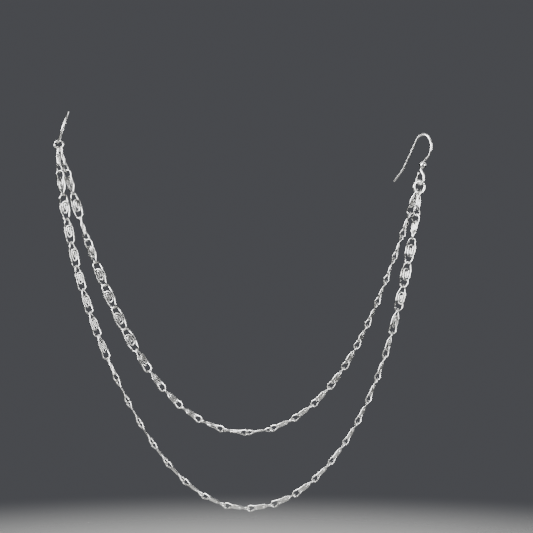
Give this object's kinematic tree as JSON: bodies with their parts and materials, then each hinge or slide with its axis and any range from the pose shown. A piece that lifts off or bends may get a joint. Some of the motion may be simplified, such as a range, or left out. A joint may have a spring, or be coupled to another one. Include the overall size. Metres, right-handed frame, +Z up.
{
  "type": "ear to nose chain",
  "caption": "Hanging strands of silver scroll links that join a wire hook for a pierced ear to a small hoop for a pierced nostril.",
  "frame": {"origin": "underside of the ear hook's arch, where the ear lobe carries it", "axes": "+Z up, -X from the ear towards the nose, +Y towards the skin"},
  "size_m": [0.1099, 0.0104, 0.1164],
  "materials": {
    "links": "polished silver-plated wire",
    "hook": "polished silver-plated wire",
    "ball": "mirror-polished bead",
    "jump_rings": "tumbled silver-plated wire",
    "hoop": "polished silver-plated wire"
  },
  "bodies": {
    "root": {"ear_hook": "hook", "hook_ball": "ball", "ear_jump_ring": "jump_rings", "nose_jump_ring": "jump_rings", "nose_hoop": "hoop", "inner_run_1": "links", "inner_run_2": "links", "inner_run_3": "links", "inner_run_4": "links", "inner_run_5": "links", "inner_run_6": "links", "inner_run_7": "links", "outer_run_1": "links", "outer_run_2": "links", "outer_run_3": "links", "outer_run_4": "links", "outer_run_5": "links", "outer_run_6": "links", "outer_run_7": "links", "outer_run_8": "links", "outer_run_9": "links"}
  },
  "joints": []
}
